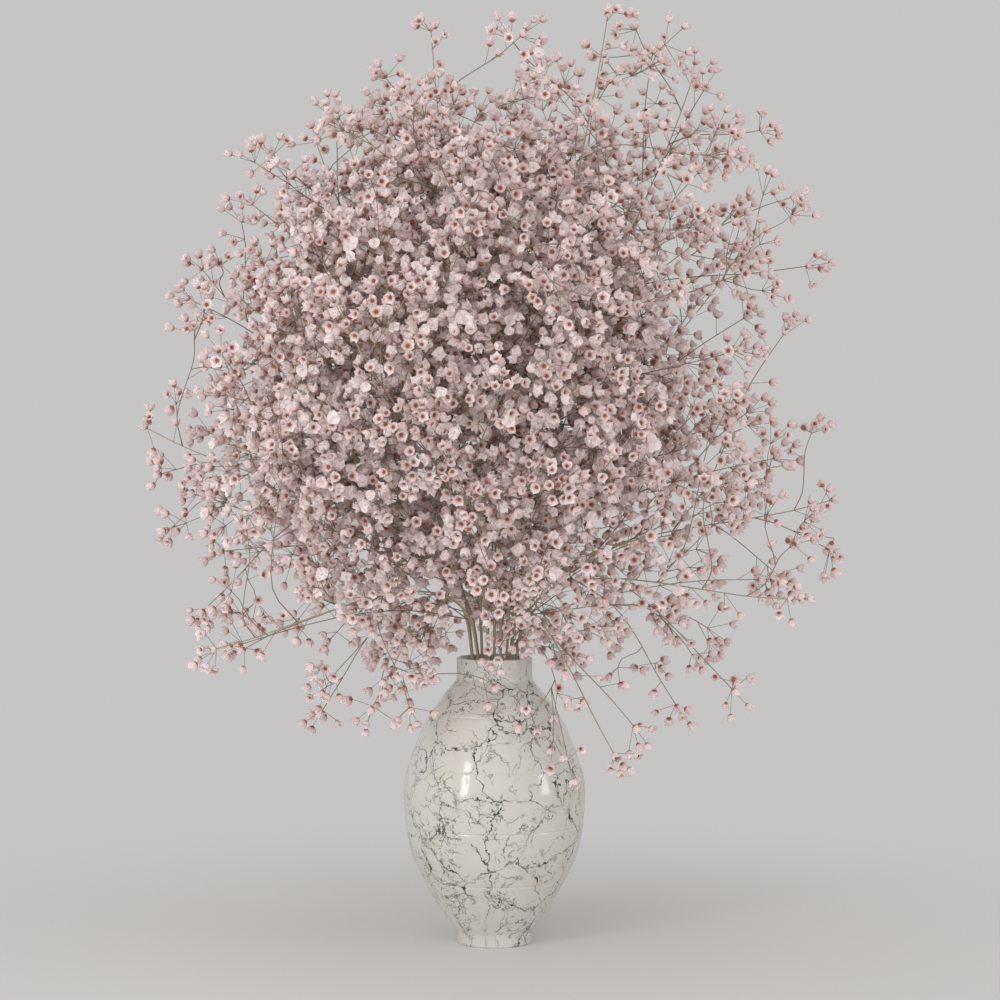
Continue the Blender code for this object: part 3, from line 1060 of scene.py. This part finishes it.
def grow(box):
    """The whole plant: stems, boughs and their sprays, then twigs from the mouth outwards."""
    plant = Plant(box)
    stems = all_stem_axes()
    for number, (stem, boughs) in enumerate(zip(stems, grow_boughs(stems))):
        axis = smooth_through(stem[2:], STEM_CURVE_STEPS)
        plant.tubes.append((number, [stem[0], stem[1], *axis], VISIBLE_RADII, STEM_SIDES))
        plant.host(number, axis)
        ends = [axis]
        for _, bough in boughs:
            path = smooth_through(bough, BOUGH_CURVE_STEPS)
            plant.tubes.append((number, path, BOUGH_RADII, BOUGH_SIDES))
            plant.host(number, path)
            ends.append(path)
        for path in ends:
            way = np.array((path[-1] - path[-2]).normalized())
            plant.umbel(number, np.array(path[-1]), way, TIP_PEDICELS, central=True)
            plant.side_sprays(number, path)
    draw = random.Random(SEED + 2)
    table = np.array(HANGING_UMBELS)
    low, high = np.array(box[0]), np.array(box[1])
    while len(table) < UMBELS:
        point = np.array([draw.uniform(a, b) for a, b in zip(low, high)])
        if draw.random() > crowding(point):
            continue
        if np.linalg.norm(table - point, axis=1).min() < UMBEL_SPACING:
            continue
        table = np.vstack([table, point])
    mouth = np.array((0, 0, VASE_HEIGHT))
    for i in np.argsort(np.linalg.norm(table - mouth, axis=1)):
        plant.twig(table[i])
    return plant


def ringed(points):
    """(radius, height) points down the outside, with a groove at each ring and enough points to
    shape it."""
    points = points[::-1]
    heights = [p.y for p in points]
    radii = [p.x for p in points]
    steps = range(-RING_STEPS, RING_STEPS + 1)
    near = [ring + RING_WIDTH * 0.5 * i for ring in RINGS for i in steps]
    reached = RING_WIDTH * RING_STEPS / 2
    clear = [h for h in heights if min(abs(h - ring) for ring in RINGS) > reached]
    found = []
    for height in sorted(near + clear, reverse=True):
        cut = sum(math.exp(-(((height - ring) / RING_WIDTH) ** 2)) for ring in RINGS)
        found.append((float(np.interp(height, heights, radii)) - RING_DEPTH * cut, height))
    return found


def vase_outline():
    """(radius, height) points up the inside, over the rim and down the outside, with the rings
    that the potter's tool left."""
    shoulder = (NECK_RADIUS, VASE_HEIGHT - NECK_LENGTH)
    outside = smooth_through([shoulder, *BELLY, (FOOT_RADIUS, FOOT_HEIGHT)], OUTLINE_STEPS)
    inside = []
    for before, here, after in zip(outside, outside[1:], outside[2:]):
        down = (after - before).normalized()
        inside.append(here + Vector((down.y, -down.x)) * WALL)
    fillet = bezier(Vector((NECK_RADIUS, shoulder[1] + FILLET)), Vector((NECK_RADIUS, shoulder[1])),
                    Vector((NECK_RADIUS, shoulder[1])), outside[1], FILLET_STEPS)
    inner_neck = NECK_RADIUS - WALL
    lip = [(NECK_RADIUS - WALL / 2 + WALL / 2 * math.cos(math.radians(a)),
            VASE_HEIGHT - WALL * LIP_RISE + WALL * LIP_RISE * math.sin(math.radians(a)))
           for a in range(180, -1, -LIP_TURN)]
    foot = [(FOOT_RADIUS - FOOT_ROUND + FOOT_ROUND * math.cos(math.radians(a)),
             FOOT_ROUND - FOOT_ROUND * math.sin(math.radians(a)))
            for a in range(0, 91, FOOT_TURN)]
    return [
        (0.0, FLOOR),
        (FOOT_RADIUS - WALL, FLOOR),
        *[tuple(p) for p in reversed(inside) if p.y > FLOOR + WALL],
        (inner_neck, shoulder[1]),
        (inner_neck, (shoulder[1] + VASE_HEIGHT) / 2),
        *lip,
        (NECK_RADIUS, (shoulder[1] + VASE_HEIGHT) / 2),
        (NECK_RADIUS, shoulder[1] + FILLET),
        *[tuple(p) for p in fillet],
        *ringed(outside[2:]),
        *foot,
        (0.0, 0.0),
    ]


def add_vase(box):
    outline = vase_outline()
    lengths = np.cumsum([0, *[math.dist(a, b) for a, b in zip(outline, outline[1:])]])
    rows = lengths / lengths[-1]
    vertices, faces, places = [], [], []
    for radius, height in outline[1:-1]:
        for i in range(VASE_SIDES):
            turn = 2 * math.pi * i / VASE_SIDES
            vertices.append((radius * math.cos(turn), radius * math.sin(turn), height))
    for row in range(len(outline) - 3):
        for i in range(VASE_SIDES):
            j = (i + 1) % VASE_SIDES
            a, b = row * VASE_SIDES + i, row * VASE_SIDES + j
            faces.append([a, a + VASE_SIDES, b + VASE_SIDES, b])
            left, right = i / VASE_SIDES, (i + 1) / VASE_SIDES
            low, high = rows[row + 1], rows[row + 2]
            places += [(left, low), (left, high), (right, high), (right, low)]
    top = len(vertices)
    vertices += [(0, 0, FLOOR), (0, 0, 0)]
    last = (len(outline) - 3) * VASE_SIDES
    for i in range(VASE_SIDES):
        j = (i + 1) % VASE_SIDES
        left, right = i / VASE_SIDES, (i + 1) / VASE_SIDES
        faces.append([top, i, j])
        places += [((left + right) / 2, rows[0]), (left, rows[1]), (right, rows[1])]
        faces.append([top + 1, last + j, last + i])
        places += [((left + right) / 2, rows[-1]), (right, rows[-2]), (left, rows[-2])]
    cloth = Cloth(box)
    cloth.add(vertices, faces, places)
    piece = cloth.build("vase_glazed", glaze(), "vase")


def add_plant(box):
    plant = grow(box)
    draw = random.Random(SEED + 3)
    bark, flower = wood(), petals()
    forms = [[floret_form(draw.uniform(*flares), crumple, throat, draw) for _ in range(FORMS)]
             for flares, crumple, throat in (OPEN_CUP, RUFFLE)]
    shapes = [floret_faces(*parts) for parts in INSIDE_PARTS]
    count = len(OUTER_STEMS) + len(INNER_STEMS)
    for number in range(count):
        cloth = Cloth(box)
        for stem, points, radii, sides in plant.tubes:
            if stem == number:
                steps = len(points) - 1
                narrowing = [(i / steps) ** TAPER for i in range(steps + 1)]
                widths = [radii[0] + (radii[1] - radii[0]) * t for t in narrowing]
                tones = STEM_TONES if radii is VISIBLE_RADII else TWIG_TONES
                tube(cloth, points, widths, sides, draw.randrange(*tones))
        piece = cloth.build(f"stem_wood_{number + 1:02}", bark, f"stem_{number + 1:02}")
        cloth = Cloth(box)
        for stem, base, way, size, ruffled in plant.florets:
            if stem == number:
                form = draw.choice(forms[ruffled]) * size
                faces, corners = shapes[ruffled]
                turned = frame_of(way, draw.uniform(0, ANY_TURN)) @ form.T
                tone = draw.randrange(TONES)
                places = [place_of(tone, *c) for face in corners for c in face]
                cloth.add(turned.T + base, faces, places)
        piece = cloth.build(f"florets_{number + 1:02}", flower, f"stem_{number + 1:02}", False)


def add_stage():
    """A pale floor that runs out into the backdrop's own colour."""
    n = Nodes("studio_floor")
    mesh = bpy.data.meshes.new("floor")
    corners = [(x * FLOOR_HALF, y * FLOOR_HALF, 0) for x, y in ((-1, -1), (1, -1), (1, 1), (-1, 1))]
    mesh.from_pydata(corners, [], [(0, 1, 2, 3)])
    floor = bpy.data.objects.new("floor", mesh)
    mesh.materials.append(n.material)
    bpy.context.scene.collection.objects.link(floor)
    n.finish(FLOOR_COLOUR, 0.8, Specular_IOR_Level=0.1)
    place = n.add("ShaderNodeTexCoord", out=3)
    distance = n.add("ShaderNodeVectorMath", {0: place}, out=1, operation="LENGTH")
    away = n.step(distance, *FLOOR_FADE)
    plain = n.add("ShaderNodeEmission", {"Color": BACKDROP, "Strength": 1.0})
    share = n.math("MULTIPLY", away, n.add("ShaderNodeLightPath"))
    mixed = n.add("ShaderNodeMixShader", {0: share, 1: n.shader.outputs[0], 2: plain})
    n.put(n.tree.nodes["Material Output"].inputs[0], mixed)


def add_world():
    world = bpy.data.worlds.new("studio")
    bpy.context.scene.world = world
    world.use_nodes = True
    tree = world.node_tree
    light = tree.nodes["Background"]
    light.inputs[0].default_value = AMBIENT_COLOUR
    light.inputs[1].default_value = AMBIENT
    seen = tree.nodes.new("ShaderNodeBackground")
    seen.inputs[0].default_value = (*BACKDROP, 1.0)
    path = tree.nodes.new("ShaderNodeLightPath")
    mix = tree.nodes.new("ShaderNodeMixShader")
    tree.links.new(path.outputs["Is Camera Ray"], mix.inputs[0])
    tree.links.new(light.outputs[0], mix.inputs[1])
    tree.links.new(seen.outputs[0], mix.inputs[2])
    tree.links.new(mix.outputs[0], tree.nodes["World Output"].inputs[0])


def add_light(name, azimuth, elevation, distance, size, power, colour, aim=0.38, mirrored=False):
    """A soft panel, seen from the object at this azimuth (0 is the front, + to the right). It
    faces the axis at the height aim, and only a mirrored one is reflected in the glaze."""
    lamp = bpy.data.lights.new(name, "AREA")
    lamp.shape = "RECTANGLE"
    lamp.size, lamp.size_y = size
    lamp.energy = power
    lamp.color = colour
    made = bpy.data.objects.new(name, lamp)
    turn, tilt = math.radians(azimuth), math.radians(elevation)
    way = Vector((math.sin(turn) * math.cos(tilt), -math.cos(turn) * math.cos(tilt), math.sin(tilt)))
    made.location = Vector((0, 0, aim)) + way * distance
    made.rotation_euler = (-way).to_track_quat("-Z", "Y").to_euler()
    made.visible_glossy = mirrored
    bpy.context.scene.collection.objects.link(made)


def add_camera():
    camera = bpy.data.cameras.new("camera")
    made = bpy.data.objects.new("camera", camera)
    made.location = (VIEW_CENTRE.x, -CAMERA_DISTANCE, CAMERA_HEIGHT)
    aim = VIEW_CENTRE - made.location
    made.rotation_euler = aim.to_track_quat("-Z", "Y").to_euler()
    camera.sensor_width = SENSOR_WIDTH
    camera.lens = SENSOR_WIDTH * aim.length / VIEW_WIDTH
    camera.clip_end = FARTHEST_SEEN
    bpy.context.scene.collection.objects.link(made)
    bpy.context.scene.camera = made


def plain(bounds):
    return [[float(x) for x in corner] for corner in bounds]


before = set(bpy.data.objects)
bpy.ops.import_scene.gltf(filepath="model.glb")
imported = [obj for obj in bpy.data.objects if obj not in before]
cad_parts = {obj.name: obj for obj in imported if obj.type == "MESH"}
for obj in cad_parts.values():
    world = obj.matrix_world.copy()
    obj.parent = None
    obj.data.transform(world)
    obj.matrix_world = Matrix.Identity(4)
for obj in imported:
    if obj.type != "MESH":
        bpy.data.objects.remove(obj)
cad_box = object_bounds()
bpy.context.scene.view_settings.view_transform = "Standard"
add_vase(cad_box)
add_plant(cad_box)
add_stage()
add_world()
add_light("key", -34, 26, 2.4, (1.8, 1.8), 3.8, (1.0, 0.98, 0.95))
add_light("fill", -6, 14, 2.7, (3.6, 2.4), 22.5, (1.0, 0.99, 0.98))
add_light("strip", -38, 15.6, 1.3, (0.20, 0.60), 2.3, (1.0, 1.0, 1.0), 0.14, True)
add_light("side", 66, 12, 1.3, (0.26, 0.40), 1.1, (1.0, 0.98, 0.95), 0.14, True)
add_camera()
